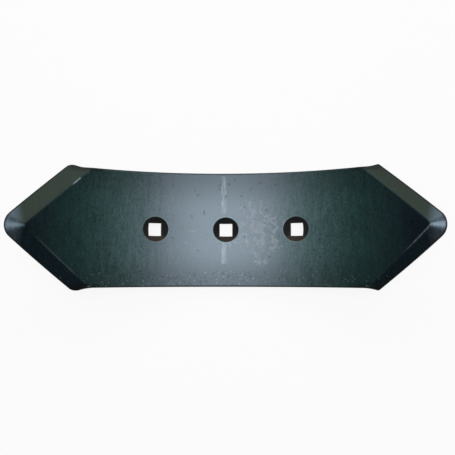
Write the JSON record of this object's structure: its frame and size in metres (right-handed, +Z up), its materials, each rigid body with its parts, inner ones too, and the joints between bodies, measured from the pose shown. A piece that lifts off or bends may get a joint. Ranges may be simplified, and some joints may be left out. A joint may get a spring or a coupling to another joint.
{
  "type": "plough share",
  "caption": "Reversible plough share: bent steel bar with a bevelled point at each end and square countersunk bolt holes.",
  "frame": {"origin": "middle of the lowest line of the convex back, under the middle bolt hole", "axes": "+X along the share to the end with the narrower bevel, +Y across its width, +Z up, out of the hollow front face"},
  "size_m": [0.4026, 0.1252, 0.0973],
  "materials": {
    "forged_steel": "satin dark oxide from rolling, hardening and tempering"
  },
  "bodies": {
    "root": {"plough_share": "forged_steel"}
  },
  "joints": []
}
